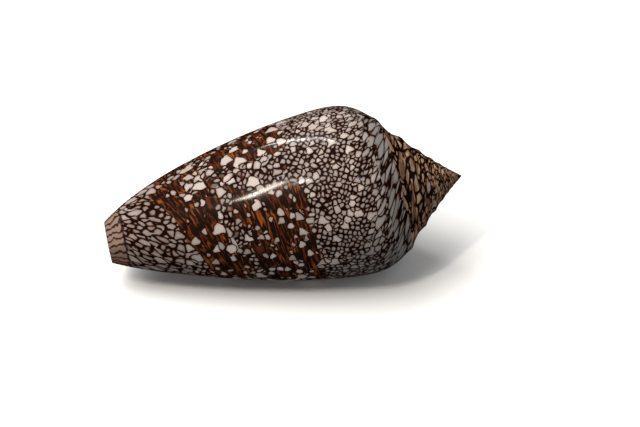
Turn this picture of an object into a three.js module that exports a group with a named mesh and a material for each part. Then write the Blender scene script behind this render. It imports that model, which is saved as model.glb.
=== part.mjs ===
// Cone shell: a dextral cone snail's shell, lying on its aperture.
//
// The shell is one sheet that the animal lays down at its lip, turn after turn, so it is
// one solid. Every place on it is given by two numbers: the turn, counted back from the
// lip (0 at the lip, -1 one whorl earlier), and the row, counted along the lip's edge from
// the suture over the shoulder to the siphonal end. Each turn is a larger copy of the last.
//
// Millimetres, +Z up. The apex points to +X, the aperture faces the table, and the origin
// is under the middle of the shell, on the table.
import * as THREE from 'three';
import { mergeVertices } from 'three/addons/utils/BufferGeometryUtils.js';

// Driving dimensions. Lengths along the axis are measured from the apex.
const LENGTH = 80;              // apex to siphonal end
const SHOULDER_RADIUS = 18.2;   // of the last whorl, at the lip
const SHOULDER_DROP = 18.4;     // how far below the apex the shoulder is, at the lip
const WHORL_GROWTH = 1.45;      // each turn is this many times as wide as the one before
const DROP_GROWTH = 1.38;       // and its shoulder this many times as far from the apex
const TURNS = 8;                // whorls that are modelled
const LIP_THICKNESS = 0.9;      // at the lip's edge
const WALL_THICKNESS = 1.5;     // deep inside
const CANAL_WALL = 0.85;        // at the siphonal end
const CAVITY_TURNS = 0.8;       // how far back the hollow is modelled
const THICKENING_TURNS = 0.15;  // how far back from the lip the wall reaches its full thickness

// The flank: it swells out below the shoulder, then tapers, slowly at first and at the end
// fast. The siphonal end winds out faster than the shoulder does.
const SWELLING = 0.31;          // how far the flank bulges beyond the shoulder
const SWELLING_REACH = 0.07;    // how soon it does, in flank lengths
const SWELLING_POWER = 1.4;
const TAPER = 0.54;
const TAPER_POWER = 1.84;
const END_TAPER = 0.155;
const END_TAPER_POWER = 9;
const CANAL_TIGHTENING = 0.75;
const TIGHTENING_POWER = 3;

// The ramp above the shoulder is a little hollow. How deep, in shoulder radii, and which way.
const RAMP_SAG = 0.017;
const SAG_ALONG = 0.78;
const SAG_INWARD = 0.62;

// Where the suture and the ceiling of the hollow lie on the whorl before, in shoulder radii
// below its shoulder.
const SUTURE_BELOW_SHOULDER = 0.15;
const CEILING_BELOW_SHOULDER = 0.27;

// The lip's edge, in turns: the notch on the ramp, the bow on the flank and how far it
// swings back at the siphonal end.
const NOTCH = 0.08;
const BOW = 0.015;
const SWING_BACK = 0.05;
const SWING_POWER = 6;

// The inner face. Under the shoulder it lies further in, by these shares of the wall.
const INSET_DOWN = 1.2;
const INSET_INWARD = 0.8;
const CORNER_WALL = 1.1;        // the wall just below the shoulder, in walls
const CORNER_REACH = 4;         // how far down it is thicker
const LEAST_ROW_STEP = 0.4;     // keeps the rows there apart

// How the shell lies: the lip's direction round the axis (0 is up, 90 is +Y) and the axis's
// slope, apex end up, in degrees.
const LIP_DIRECTION = 130.5;
const AXIS_SLOPE = 8;

// The two ends of the axis: the apex lies a little above the first whorl's shoulder, in its
// radii, and the pillar's end closes on a point near the axis.
const TIP_HEIGHT = 0.35;
const PILLAR_RADIUS = 0.3;
const PILLAR_TURN = -CAVITY_TURNS - 0.25;

// Facets
const STEPS = 40;               // columns in a turn
const RAMP_ROWS = 2;            // from the suture to the shoulder
const SUTURE_ROW = RAMP_ROWS + 1;
const CEILING_ROW = SUTURE_ROW + 1;
const FLANK_ROWS = 14;
const LAST_ROW = CEILING_ROW + FLANK_ROWS;
const ROW_SPREAD = 1.15;        // above 1, the rows are closer together at the siphonal end
const SAME_POINT = 1e-6;
const MERGE_WITHIN = 1e-4;

const { lerp, clamp, smoothstep, degToRad } = THREE.MathUtils;
const growth = (turn) => WHORL_GROWTH ** turn;

function shoulder(turn) {
  return { along: SHOULDER_DROP * DROP_GROWTH ** turn, radius: SHOULDER_RADIUS * growth(turn) };
}

// The flank runs from the shoulder (part 0) to the siphonal end (part 1).
function flank(turn, part) {
  const top = shoulder(turn);
  const swollen = 1 - Math.exp(-((part / SWELLING_REACH) ** SWELLING_POWER));
  const taper = 1 - TAPER * part ** TAPER_POWER - END_TAPER * part ** END_TAPER_POWER;
  const tightening = (1 + CANAL_TIGHTENING * part ** TIGHTENING_POWER) ** turn;
  return {
    along: lerp(top.along, LENGTH, part),
    radius: top.radius * (1 + SWELLING * swollen) * taper * tightening,
  };
}

function partBelow(turn, radiiBelow) {
  const top = shoulder(turn);
  return (radiiBelow * top.radius) / (LENGTH - top.along);
}

// The part of the flank just below the shoulder. Above the last whorl it is the same shape
// at a smaller size.
function riser(turn, radiiBelow) {
  const model = Math.max(turn, -1);
  const point = flank(model, partBelow(model, radiiBelow));
  const scale = growth(turn - model);
  const below = (point.along - shoulder(model).along) * scale;
  return { along: shoulder(turn).along + below, radius: point.radius * scale };
}

function rampPoint(turn, part) {
  const suture = riser(turn - 1, SUTURE_BELOW_SHOULDER);
  const top = shoulder(turn);
  const sag = RAMP_SAG * top.radius * 4 * part * (1 - part);
  return {
    along: lerp(suture.along, top.along, part) + SAG_ALONG * sag,
    radius: lerp(suture.radius, top.radius, part) - SAG_INWARD * sag,
  };
}

// How far down the flank a row is, from 0 at the shoulder to 1 at the siphonal end.
function flankPart(turn, row) {
  const start = partBelow(turn, CEILING_BELOW_SHOULDER);
  const step = (row - CEILING_ROW) / FLANK_ROWS;
  return lerp(start, 1, step * (ROW_SPREAD - (ROW_SPREAD - 1) * step));
}

// How far the lip's edge runs ahead at a row, in turns.
function lead(turn, row) {
  if (row <= RAMP_ROWS) {
    const part = row / RAMP_ROWS;
    return -NOTCH * part * (1 - part);
  }
  if (row <= SUTURE_ROW) return 0;
  const part = flankPart(turn, row);
  return BOW * Math.sin(Math.PI * part) * part - SWING_BACK * part ** SWING_POWER;
}

// The shell's section: a place along the axis and a radius.
function sectionPoint(turn, row) {
  if (row <= RAMP_ROWS) return rampPoint(turn, row / RAMP_ROWS);
  if (row <= SUTURE_ROW) return riser(turn, SUTURE_BELOW_SHOULDER);
  return flank(turn, flankPart(turn, row));
}

// Turn a place on the section into a point: the shell winds from up (+Z) to +Y.
function wind(turn, place) {
  const angle = degToRad(LIP_DIRECTION) + 2 * Math.PI * turn;
  return new THREE.Vector3(
    -place.along, place.radius * Math.sin(angle), place.radius * Math.cos(angle));
}

// The outer face. It starts at the suture, a line on the whorl before.
function outside(turn, row) {
  if (row === 0) return outside(turn - 1, SUTURE_ROW);
  const ahead = turn + lead(turn, row);
  return wind(ahead, sectionPoint(ahead, row));
}

function wallThickness(turn, row) {
  const flankWall = lerp(LIP_THICKNESS, WALL_THICKNESS, Math.min(1, -turn / THICKENING_TURNS));
  const canal = smoothstep(row, (LAST_ROW + CEILING_ROW) / 2, LAST_ROW);
  return lerp(flankWall, CANAL_WALL, canal);
}

function insetShoulder(turn, thickness) {
  const top = shoulder(turn);
  return {
    along: top.along + INSET_DOWN * thickness,
    radius: top.radius - INSET_INWARD * thickness,
  };
}

// The ceiling of the hollow, from the whorl before to the shoulder.
function ceilingPlace(turn, row, thickness) {
  const start = flank(turn - 1, flankPart(turn - 1, CEILING_ROW));
  const end = insetShoulder(turn, thickness);
  const part = row / RAMP_ROWS;
  return {
    along: lerp(start.along, end.along, part),
    radius: lerp(start.radius, end.radius, part),
  };
}

// The inner face of the flank, a wall's thickness in from the outer one.
function innerFlankPlace(turn, row, thickness) {
  const face = sectionPoint(turn, row);
  const top = insetShoulder(turn, thickness).along;
  const drop = clamp((face.along - top) / CORNER_REACH, 0, 1);
  const highest = top + LEAST_ROW_STEP * (row - RAMP_ROWS);
  return {
    along: row === LAST_ROW ? LENGTH : Math.max(face.along, highest),
    radius: face.radius - thickness * lerp(CORNER_WALL, 1, drop),
  };
}

// The inner face. It starts under the suture, a little further down the whorl before.
function inside(turn, row) {
  if (row === 0) return outside(turn - 1, CEILING_ROW);
  const ahead = turn + lead(turn, row);
  const thickness = wallThickness(turn, row);
  const place = row <= RAMP_ROWS ? ceilingPlace : innerFlankPlace;
  return wind(ahead, place(ahead, row, thickness));
}

// A closed surface, gathered triangle by triangle.
class Skin {
  constructor() {
    this.positions = [];
  }

  // A triangle with two corners in one place has no area and is left out.
  triangle(a, b, c) {
    const shortest = Math.min(a.distanceTo(b), b.distanceTo(c), c.distanceTo(a));
    if (shortest < SAME_POINT) return;
    for (const corner of [a, b, c]) this.positions.push(corner.x, corner.y, corner.z);
  }

  quad(a, b, c, d) {
    this.triangle(a, b, c);
    this.triangle(a, c, d);
  }

  geometry() {
    const loose = new THREE.BufferGeometry();
    loose.setAttribute('position', new THREE.Float32BufferAttribute(this.positions, 3));
    return mergeVertices(loose, MERGE_WITHIN);
  }
}

// A sheet of one face, from one turn to another and from one row to another.
function addSheet(skin, face, turns, rows, facesOut) {
  const columns = Math.round((turns.to - turns.from) * STEPS);
  for (let column = 0; column < columns; column += 1) {
    const turn = turns.from + column / STEPS;
    const next = turns.from + (column + 1) / STEPS;
    for (let row = rows.from; row < rows.to; row += 1) {
      const corners = [face(turn, row), face(next, row), face(next, row + 1), face(turn, row + 1)];
      skin.quad(...(facesOut ? corners : corners.reverse()));
    }
  }
}

function addApex(skin) {
  const tip = new THREE.Vector3(-TIP_HEIGHT * shoulder(-TURNS).radius, 0, 0);
  for (let column = 0; column < STEPS; column += 1) {
    const turn = -TURNS + column / STEPS;
    skin.triangle(tip, outside(turn + 1 / STEPS, 0), outside(turn, 0));
  }
  for (let row = 0; row < SUTURE_ROW; row += 1) {
    skin.triangle(tip, outside(-TURNS, row), outside(-TURNS, row + 1));
  }
}

function addLip(skin) {
  for (let row = 0; row < LAST_ROW; row += 1) {
    skin.quad(outside(0, row), inside(0, row), inside(0, row + 1), outside(0, row + 1));
  }
}

// The far end of the hollow: a wall across it, from its outer wall to the whorl before.
function addEndOfHollow(skin) {
  const turn = -CAVITY_TURNS;
  for (let row = 1; row < CEILING_ROW; row += 1) {
    skin.triangle(inside(turn, row), inside(turn, 0), inside(turn, row + 1));
  }
  for (let row = CEILING_ROW; row < LAST_ROW; row += 1) {
    skin.quad(
      inside(turn, row), outside(turn - 1, row),
      outside(turn - 1, row + 1), inside(turn, row + 1));
  }
}

// The siphonal end: the rolled sheet's edge, and the pillar's end inside it.
function addSiphonalEnd(skin) {
  const steps = CAVITY_TURNS * STEPS;
  for (let column = -steps; column < 0; column += 1) {
    const turn = column / STEPS;
    const next = (column + 1) / STEPS;
    skin.quad(
      outside(turn, LAST_ROW), outside(next, LAST_ROW),
      inside(next, LAST_ROW), inside(turn, LAST_ROW));
  }
  addPillarEnd(skin);
}

function addPillarEnd(skin) {
  const back = -CAVITY_TURNS;
  const middle = wind(PILLAR_TURN, { along: LENGTH, radius: PILLAR_RADIUS });
  for (let column = 0; column < STEPS; column += 1) {
    const turn = back - 1 + column / STEPS;
    skin.triangle(middle, outside(turn, LAST_ROW), outside(turn + 1 / STEPS, LAST_ROW));
  }
  skin.triangle(middle, outside(back, LAST_ROW), inside(back, LAST_ROW));
  skin.triangle(middle, inside(back, LAST_ROW), outside(back - 1, LAST_ROW));
}

function shellGeometry() {
  const skin = new Skin();
  const spire = { from: -TURNS, to: 0 };
  const lastTurn = { from: -1, to: 0 };
  const bodyAndInnerWall = { from: -1 - CAVITY_TURNS, to: 0 };
  const hollow = { from: -CAVITY_TURNS, to: 0 };
  addSheet(skin, outside, spire, { from: 0, to: SUTURE_ROW }, true);
  addSheet(skin, outside, lastTurn, { from: SUTURE_ROW, to: CEILING_ROW }, true);
  addSheet(skin, outside, bodyAndInnerWall, { from: CEILING_ROW, to: LAST_ROW }, true);
  addSheet(skin, inside, hollow, { from: 0, to: LAST_ROW }, false);
  addApex(skin);
  addLip(skin);
  addEndOfHollow(skin);
  addSiphonalEnd(skin);
  return skin.geometry();
}

// Tip the axis, centre the shell over the origin and set it down on the table.
function layDown(geometry) {
  geometry.rotateY(-degToRad(AXIS_SLOPE));
  geometry.computeBoundingBox();
  const box = geometry.boundingBox;
  const middle = box.getCenter(new THREE.Vector3());
  geometry.translate(-middle.x, -middle.y, -box.min.z);
}

function shell() {
  const geometry = shellGeometry();
  layDown(geometry);
  const material = new THREE.MeshStandardMaterial({
    color: 0x6b5648, roughness: 0.3, metalness: 0, flatShading: true });
  const mesh = new THREE.Mesh(geometry, material);
  mesh.name = 'shell';
  return mesh;
}

const part = new THREE.Group();
part.add(shell());

export default part;
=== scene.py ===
# %% [markdown]
# # A cone shell with a net of white tents
#
# A cone snail builds its shell at one edge only, the lip. The lip turns round the shell's
# axis and grows as it goes, so the whole shell is one sheet rolled up like a paper cone.
# This lesson grows that sheet in numbers, sews it into one closed skin, and paints it with
# nodes that follow the same growth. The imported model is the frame: it says how big the
# shell is and how it lies, and the finer skin made here takes its place.

# %% Load the frame
from math import pi, radians

import bmesh
import bpy
import numpy as np
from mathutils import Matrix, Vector


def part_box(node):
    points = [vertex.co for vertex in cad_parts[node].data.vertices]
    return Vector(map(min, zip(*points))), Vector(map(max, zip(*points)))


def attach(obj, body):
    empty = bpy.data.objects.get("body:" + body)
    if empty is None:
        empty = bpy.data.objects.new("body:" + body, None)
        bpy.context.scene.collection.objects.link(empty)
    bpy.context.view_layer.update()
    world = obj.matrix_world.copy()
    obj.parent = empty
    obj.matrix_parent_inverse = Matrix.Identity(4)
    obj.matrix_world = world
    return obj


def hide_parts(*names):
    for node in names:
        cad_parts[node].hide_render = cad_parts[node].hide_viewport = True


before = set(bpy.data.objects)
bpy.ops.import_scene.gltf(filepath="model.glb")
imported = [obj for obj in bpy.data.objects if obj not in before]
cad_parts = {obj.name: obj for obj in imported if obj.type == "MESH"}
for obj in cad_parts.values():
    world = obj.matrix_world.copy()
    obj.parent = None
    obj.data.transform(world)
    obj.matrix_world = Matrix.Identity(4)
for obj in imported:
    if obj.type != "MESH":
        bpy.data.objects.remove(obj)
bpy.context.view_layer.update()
low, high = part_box("shell")
print("the packed shell is", [round(1000 * side, 1) for side in high - low], "mm")

# %% [markdown]
# ## The growth law
#
# Two numbers name every place on the sheet. `turn` counts whorls back from the lip: 0 is the
# lip, -1 is one whorl earlier. `row` runs along the lip's edge, from the seam with the whorl
# before (the suture), over the shoulder, down the flank to the siphonal end. Each turn is a
# fixed number of times wider than the one before, which is why a shell keeps its shape as it
# grows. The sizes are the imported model's own, in millimetres. A lathe or a screw modifier
# would give a spiral too, but not a lip, an aperture and an overlap that fit each other.

# %% Sizes of the growth law
MM = 0.001
LENGTH = 80.0                # apex to siphonal end
SHOULDER_RADIUS = 18.2       # of the last whorl, at the lip
SHOULDER_DROP = 18.4         # how far below the apex the shoulder is, at the lip
WHORL_GROWTH = 1.45          # each turn is this many times as wide as the one before
DROP_GROWTH = 1.38           # and its shoulder this many times as far from the apex
TURNS = 8                    # whorls that are modelled
SUTURE_BELOW = 0.15          # where the suture lies on the whorl before, in shoulder radii
CEILING_BELOW = 0.27         # and where the ceiling of the hollow does
SHOULDER_ROW = 2.0
SUTURE_ROW = 3.0
CEILING_ROW = 4.0
LAST_ROW = 18.0              # the siphonal end

first_radius = SHOULDER_RADIUS * WHORL_GROWTH ** -TURNS
print("shoulder radius:", SHOULDER_RADIUS, "mm at the lip,", round(first_radius, 2), "mm at the start")

# %% [markdown]
# ## The section of a whorl
#
# A saw cut along the axis would show each whorl as a bent line: a slightly hollow ramp from
# the suture out to the shoulder, then the long flank, which swells a little and tapers to the
# siphonal end. Each part is a short formula that gives two numbers, how far along the axis a
# place is, counted from the apex, and its radius. A curve drawn by hand would do for one whorl,
# but a formula also gives every stage in between, so the spiral has no steps.

# %% The shoulder and the flank
SWELLING = 0.31              # how far the flank bulges beyond the shoulder
SWELLING_REACH = 0.07        # how soon it does, in flank lengths
SWELLING_POWER = 1.4         # and how gently it starts
TAPER = 0.54                 # share of its width that the flank loses on the way down
TAPER_POWER = 1.84
END_TAPER = 0.155            # and the share that it loses just before the end
END_TAPER_POWER = 9
CANAL_TIGHTENING = 0.75      # how much faster the siphonal end winds out
CANAL_POWER = 3


def mixed(start, end, part):
    return start + (end - start) * part


def smooth(value, start, end):
    """0 before start, 1 after end, with a smooth rise between."""
    part = np.clip((value - start) / (end - start), 0, 1)
    return part * part * (3 - 2 * part)


def shoulder(turn):
    return SHOULDER_DROP * DROP_GROWTH ** turn, SHOULDER_RADIUS * WHORL_GROWTH ** turn


def flank(turn, part):
    """From the shoulder (part 0) to the siphonal end (part 1)."""
    top, radius = shoulder(turn)
    swelling = 1 + SWELLING * (1 - np.exp(-((part / SWELLING_REACH) ** SWELLING_POWER)))
    taper = 1 - TAPER * part ** TAPER_POWER - END_TAPER * part ** END_TAPER_POWER
    tightening = (1 + CANAL_TIGHTENING * part ** CANAL_POWER) ** turn
    return mixed(top, LENGTH, part), radius * swelling * taper * tightening


widest = flank(0, np.linspace(0, 1, 200))[1].max()
print("the flank swells to a radius of", round(float(widest), 1), "mm")

# %% The riser below the shoulder, and the ramp above it
RAMP_SAG = 0.017             # how hollow the ramp is, in shoulder radii
SAG_DOWN = 0.78              # the way it sags: along the axis
SAG_IN = 0.62                # and towards it


def part_below(turn, radii):
    """The part of the flank that lies this many shoulder radii below the shoulder."""
    top, radius = shoulder(turn)
    return radii * radius / (LENGTH - top)


def riser(turn, radii):
    """Just below the shoulder. Above the last whorl it is the same shape at a smaller size."""
    model = np.maximum(turn, -1)
    along, radius = flank(model, part_below(model, radii))
    scale = WHORL_GROWTH ** (turn - model)
    return shoulder(turn)[0] + (along - shoulder(model)[0]) * scale, radius * scale


def ramp(turn, part):
    """From the suture (part 0) out to the shoulder (part 1)."""
    start_along, start_radius = riser(turn - 1, SUTURE_BELOW)
    end_along, end_radius = shoulder(turn)
    sag = RAMP_SAG * end_radius * 4 * part * (1 - part)
    along = mixed(start_along, end_along, part) + SAG_DOWN * sag
    return along, mixed(start_radius, end_radius, part) - SAG_IN * sag


ramp_width = np.hypot(*np.subtract(ramp(0, 1), ramp(0, 0)))
print("the ramp is", round(float(ramp_width), 1), "mm wide at the lip")

# %% [markdown]
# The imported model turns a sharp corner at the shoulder, which is enough to catch a finger in a
# simulation. A real shoulder is rounded off, because the mantle that lays it down is soft. A
# bevel modifier would round every edge alike. Here the corner is replaced, along each growth
# line, by a short curve that leaves the ramp and meets the flank smoothly.

# %% The whole outer section, with a rounded shoulder
ROUND_FROM = 1.72            # rows between which the corner is rounded off
ROUND_TO = 2.36
ROW_CROWDING = 0.15          # above 0, rows stand closer together towards the siphonal end


def flank_part(turn, row):
    step = (row - CEILING_ROW) / (LAST_ROW - CEILING_ROW)
    return mixed(part_below(turn, CEILING_BELOW), 1, step * (1 + ROW_CROWDING - ROW_CROWDING * step))


def rounded(turn, part):
    start = ramp(turn, ROUND_FROM / SHOULDER_ROW)
    end = riser(turn, SUTURE_BELOW * (ROUND_TO - SHOULDER_ROW))
    corner = shoulder(turn)
    return [
        (1 - part) ** 2 * start[axis] + 2 * part * (1 - part) * corner[axis] + part ** 2 * end[axis]
        for axis in (0, 1)
    ]


def section(turn, row):
    below = mixed(SUTURE_BELOW, CEILING_BELOW, np.clip(row - SUTURE_ROW, 0, 1))
    below = np.where(row < SUTURE_ROW, SUTURE_BELOW * np.clip(row - SHOULDER_ROW, 0, 1), below)
    bend = np.clip((row - ROUND_FROM) / (ROUND_TO - ROUND_FROM), 0, 1)
    pieces = [
        (row < ROUND_FROM, ramp(turn, np.clip(row / SHOULDER_ROW, 0, 1))),
        (row < ROUND_TO, rounded(turn, bend)),
        (row <= CEILING_ROW, riser(turn, below)),
        (row > CEILING_ROW, flank(turn, flank_part(turn, np.maximum(row, CEILING_ROW)))),
    ]
    tests = [test for test, place in pieces]
    return [np.select(tests, [place[axis] for test, place in pieces]) for axis in (0, 1)]


end_radius = section(np.zeros(1), np.full(1, LAST_ROW))[1]
print("the siphonal end has a radius of", round(float(end_radius[0]), 1), "mm")

# %% [markdown]
# The lip's edge isn't straight. It is notched on the ramp, where used water leaves the shell,
# bowed forward on the flank, and cut back at the siphonal end. Every growth line on the shell
# once was the lip, so the same bend is added to all of them, as a lead in turns. Bending only
# the last edge would be less work, but then the growth marks would run straight into it.

# %% The bend of the lip, and winding it round the axis
NOTCH_DEPTH = 0.02           # in turns, as are the next two
BOW = 0.015
CANAL_LAG = 0.05
CANAL_LAG_POWER = 6
LIP_DIRECTION = 130.5        # round the axis, in degrees: 0 is up, 90 is +Y


def lead(turn, row):
    """How far the lip's edge runs ahead, in turns."""
    across = np.clip(row / SHOULDER_ROW, 0, 1)
    part = flank_part(turn, np.maximum(row, CEILING_ROW))
    bow = BOW * np.sin(pi * part) * part - CANAL_LAG * part ** CANAL_LAG_POWER
    return -4 * NOTCH_DEPTH * across * (1 - across) + bow * np.clip(row - SUTURE_ROW, 0, 1)


def wind(turn, along, radius):
    """Turns a place on the section into a point, from up (+Z) towards +Y."""
    angle = radians(LIP_DIRECTION) + 2 * pi * turn
    return np.stack([-along + 0 * angle, radius * np.sin(angle), radius * np.cos(angle)], -1)


print("the siphonal end is cut back by", round(-360 * float(lead(0.0, LAST_ROW))), "degrees")

# %% [markdown]
# ## Growth marks
#
# A shell grows in fits and starts. Each pause leaves a faint line parallel to the lip, and the
# mantle's edge leaves fine ridges that wind round the siphonal end. They are less than a tenth
# of a millimetre high, yet they break up the gloss. They are made as real shape, as a sum of
# sine waves with seeded, uneven steps, so that a print or a mould has them too. A bump in the
# material would look the same from afar, but only on the screen.

# %% Growth marks, in millimetres
chance = np.random.default_rng(7)
MARKS = [(rate, height, chance.uniform(0, 2 * pi)) for rate, height in
         [(5.3, 0.045), (8.9, 0.035), (14.7, 0.022), (23.1, 0.014), (37.9, 0.008)]]
MARK_WANDER = 1.7            # how far a mark strays from the growth line, in radians of its wave
MARK_WAVES = 3               # and how often, in radians down the flank
MARKS_AT_SHOULDER = 0.45     # share of their height there
MARKS_MORE_BELOW = 0.9       # and how much more at the siphonal end
RIDGES_PER_FLANK = 62
RIDGE_HEIGHT = 0.035
RIDGES_FROM = 0.72           # parts of the flank between which the ridges rise
RIDGES_FULL = 0.9


def relief(turn, row):
    part = flank_part(turn, np.maximum(row, CEILING_ROW))
    marks = 0
    for rate, height, phase in MARKS:
        wander = MARK_WANDER * np.sin(MARK_WAVES * part + rate)
        marks = marks + height * np.sin(2 * pi * rate * turn + phase + wander)
    marks = marks * (MARKS_AT_SHOULDER + MARKS_MORE_BELOW * part)
    ridges = RIDGE_HEIGHT * np.sin(2 * pi * RIDGES_PER_FLANK * part)
    ridges = ridges * smooth(part, RIDGES_FROM, RIDGES_FULL)
    return (marks + ridges) * smooth(row, SUTURE_ROW, CEILING_ROW + 1)


def outside(turn, row):
    """A point on the outer face. The suture is a line on the whorl before."""
    turn, row = np.broadcast_arrays(np.asarray(turn, float), np.asarray(row, float))
    at_suture = row == 0
    turn = np.where(at_suture, turn - 1, turn)
    row = np.where(at_suture, SUTURE_ROW, row)
    ahead = turn + lead(turn, row)
    along, radius = section(ahead, row)
    return wind(ahead, along, radius + relief(turn, row))


marks_seen = relief(np.linspace(-1, 0, 400), np.full(400, 10.0))
print("the growth marks are up to", round(float(abs(marks_seen).max()), 3), "mm high")

# %% [markdown]
# ## The inner face
#
# The hollow follows the outer face one wall's thickness in. Its ceiling starts on the whorl
# before, which is also its inner wall: in a rolled sheet, one turn's outside is the next turn's
# inside. A solidify modifier would thicken the sheet too, but it can't thin the wall towards
# the lip or stop at the whorl that it lies on.

# %% The inner face
LIP_THICKNESS = 0.9          # at the lip's edge
WALL_THICKNESS = 1.5         # deep inside
CANAL_WALL = 0.85            # at the siphonal end
THICKENING_TURNS = 0.15      # how far from the lip the wall has its full thickness
CAVITY_TURNS = 0.8           # how far back the hollow is modelled
INSET_DOWN = 1.2             # where the hollow has its own shoulder, in wall thicknesses
INSET_IN = 0.8
SHOULDER_WALL = 1.1          # how many times thicker the wall is just below it
SHOULDER_WALL_REACH = 4      # and how far down, in mm
LEAST_ROW_STEP = 0.4         # in mm, so that no two rows meet


def wall(turn, row):
    near_lip = mixed(LIP_THICKNESS, WALL_THICKNESS, np.minimum(1, -turn / THICKENING_TURNS))
    return mixed(near_lip, CANAL_WALL, smooth(row, (LAST_ROW + CEILING_ROW) / 2, LAST_ROW))


def inset_shoulder(turn, thickness):
    along, radius = shoulder(turn)
    return along + INSET_DOWN * thickness, radius - INSET_IN * thickness


def inside(turn, row):
    turn, row = np.broadcast_arrays(np.asarray(turn, float), np.asarray(row, float))
    ahead = turn + lead(turn, row)
    thickness = wall(turn, row)
    top, top_radius = inset_shoulder(ahead, thickness)
    start = flank(ahead - 1, flank_part(ahead - 1, CEILING_ROW))
    across = np.clip(row / SHOULDER_ROW, 0, 1)
    face_along, face_radius = section(ahead, np.maximum(row, SHOULDER_ROW))
    drop = np.clip((face_along - top) / SHOULDER_WALL_REACH, 0, 1)
    along = np.maximum(face_along, top + LEAST_ROW_STEP * (row - SHOULDER_ROW))
    along = np.where(row == LAST_ROW, LENGTH, along)
    radius = face_radius - thickness * mixed(SHOULDER_WALL, 1, drop)
    ceiling = row < SHOULDER_ROW
    along = np.where(ceiling, mixed(start[0], top, across), along)
    radius = np.where(ceiling, mixed(start[1], top_radius, across), radius)
    point = wind(ahead, along, radius)
    return np.where((row == 0)[..., None], outside(turn - 1, CEILING_ROW), point)


hollow_height = np.linalg.norm(inside(-0.3, 10.0) - outside(-1.3, 10.0))
print("the hollow is", round(float(hollow_height), 1), "mm high in the middle of the last whorl")

# %% [markdown]
# ## Coordinates for the paint
#
# The colours were laid down at the lip together with the shell, so the pattern follows growth.
# The nodes therefore need to know, at each place, where it lies on the sheet. Object
# coordinates would cut the net like a block of veneer. Instead the flank is rolled out flat, as
# a paper cone would be: distance from the cone's point becomes a radius, and the way round
# becomes an angle. Cells drawn on that flat sheet keep their size and shape when it is rolled
# up again. The roll-out is skewed towards the shoulder and the siphonal end, which draws the
# cells out there into slanting stripes.

# %% Rolling the flank out flat
CONE_SPREAD = 2.16           # radians of the flat sheet in a turn, at the lip
SPREAD_GROWTH = 1.56         # and how many times more than a turn before
MIDDLE_ALONG = 45.0          # the ring that rows are measured from, in mm below the apex
MIDDLE_REACH = 61.0          # and how far it is from the flat sheet's point
COARSENING = 1.1             # above 1, cells grow from the shoulder to the siphonal end
SHOULDER_SKEW = 1.5          # how much the cells slant near the shoulder
SHOULDER_STRETCH = 0.5       # below 1, they are drawn out from the ramp down
SHOULDER_REACH = 12.0        # how far down both go, in mm
CANAL_SKEW = 0.8             # the same for the siphonal end
CANAL_STRETCH = 0.40
CANAL_FROM = 53.0


def flat_angle(turn):
    rate = np.log(SPREAD_GROWTH)
    return CONE_SPREAD * (SPREAD_GROWTH ** turn - 1) / rate


def running_sum(strides):
    """Adds up strides between rows, from the first row on."""
    start = np.zeros_like(strides[:, :1])
    return np.concatenate([start, np.cumsum(strides, 1)], 1)


def row_lengths(along, radius):
    """Lengths between rows, and the radius halfway."""
    length = np.hypot(np.diff(along, axis=1), np.diff(radius, axis=1))
    return length, 0.5 * (radius[:, 1:] + radius[:, :-1])


def rolled_out(turn, along, radius):
    """Places on the flat sheet, in millimetres, for rows of one grid from the shoulder down."""
    length, halfway = row_lengths(along, radius)
    where = 0.5 * (along[:, 1:] + along[:, :-1])
    spread = CONE_SPREAD / (2 * pi) * SPREAD_GROWTH ** turn[:, 1:]
    strides = spread * length / halfway
    canal = smooth(where, CANAL_FROM, LENGTH)
    near = 1 - smooth(where - along[:, :1], 0, SHOULDER_REACH)
    skew = CANAL_SKEW * canal - SHOULDER_SKEW * near
    reach = running_sum(strides * mixed(1, CANAL_STRETCH, canal) * mixed(1, SHOULDER_STRETCH, near))
    slide = running_sum(strides * skew)
    columns = range(len(along))
    middle = np.array([np.interp(MIDDLE_ALONG, along[i], reach[i]) for i in columns])[:, None]
    slide_middle = np.array([np.interp(MIDDLE_ALONG, along[i], slide[i]) for i in columns])[:, None]
    distance = MIDDLE_REACH / COARSENING * np.exp(COARSENING * (middle - reach))
    angle = COARSENING * (flat_angle(turn) + slide_middle - slide)
    return distance * np.cos(angle), distance * np.sin(angle)


print("the last whorl rolls out to", round(-np.degrees(flat_angle(-1.0))), "degrees of a flat sheet")

# %% [markdown]
# The bands of colour wind round the shell on the same spiral as everything else, but a mark on
# the mantle's edge drifts towards the siphonal end as the shell gets longer. `stream` is the
# height at which such a mark passes the middle of the last whorl. It stays the same all along
# a band, so a band is simply a range of stream. The stepped spire gets coordinates of its own,
# whose cells shrink with its whorls.

# %% Stream coordinates, and the spire's own
STREAM_TURN = -0.55          # where stream is equal to the distance from the apex
DRIFT = 0.34                 # how fast a mark drifts away from the apex, as a rate for each turn
CANAL_DRIFT = 0.16           # and how much faster towards the siphonal end
CANAL_DRIFT_FROM = 40        # mm below the apex where that starts
CANAL_DRIFT_FULL = 64
CANAL_DRIFT_TURNS = 0.3      # and turns from STREAM_TURN over which it wears off
SPIRE_PLACE = 20000.0        # far from the flank on the flat sheet, so that they never meet
SPIRE_ACROSS = 11.0          # mm on the flat sheet for a ramp as wide as its radius
SPIRE_ON = 7.0               # and for a radian round it
SPIRE_SLANT = 0.9


def stream(turn, along):
    away = turn - STREAM_TURN
    near = CANAL_DRIFT_TURNS * np.tanh(away / CANAL_DRIFT_TURNS)
    canal = CANAL_DRIFT * smooth(along, CANAL_DRIFT_FROM, CANAL_DRIFT_FULL)
    return along * np.exp(-DRIFT * away - canal * near)


def spire_place(turn, along, radius):
    length, halfway = row_lengths(along, radius)
    across = running_sum(length / halfway)
    return SPIRE_PLACE - SPIRE_ACROSS * across, SPIRE_ON * (2 * pi * turn + SPIRE_SLANT * across)


drifted = stream(-1.0, 1.0) / stream(0.0, 1.0)
print("a mark drifts", round(float(drifted), 2), "times as far from the apex in a turn")

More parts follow.
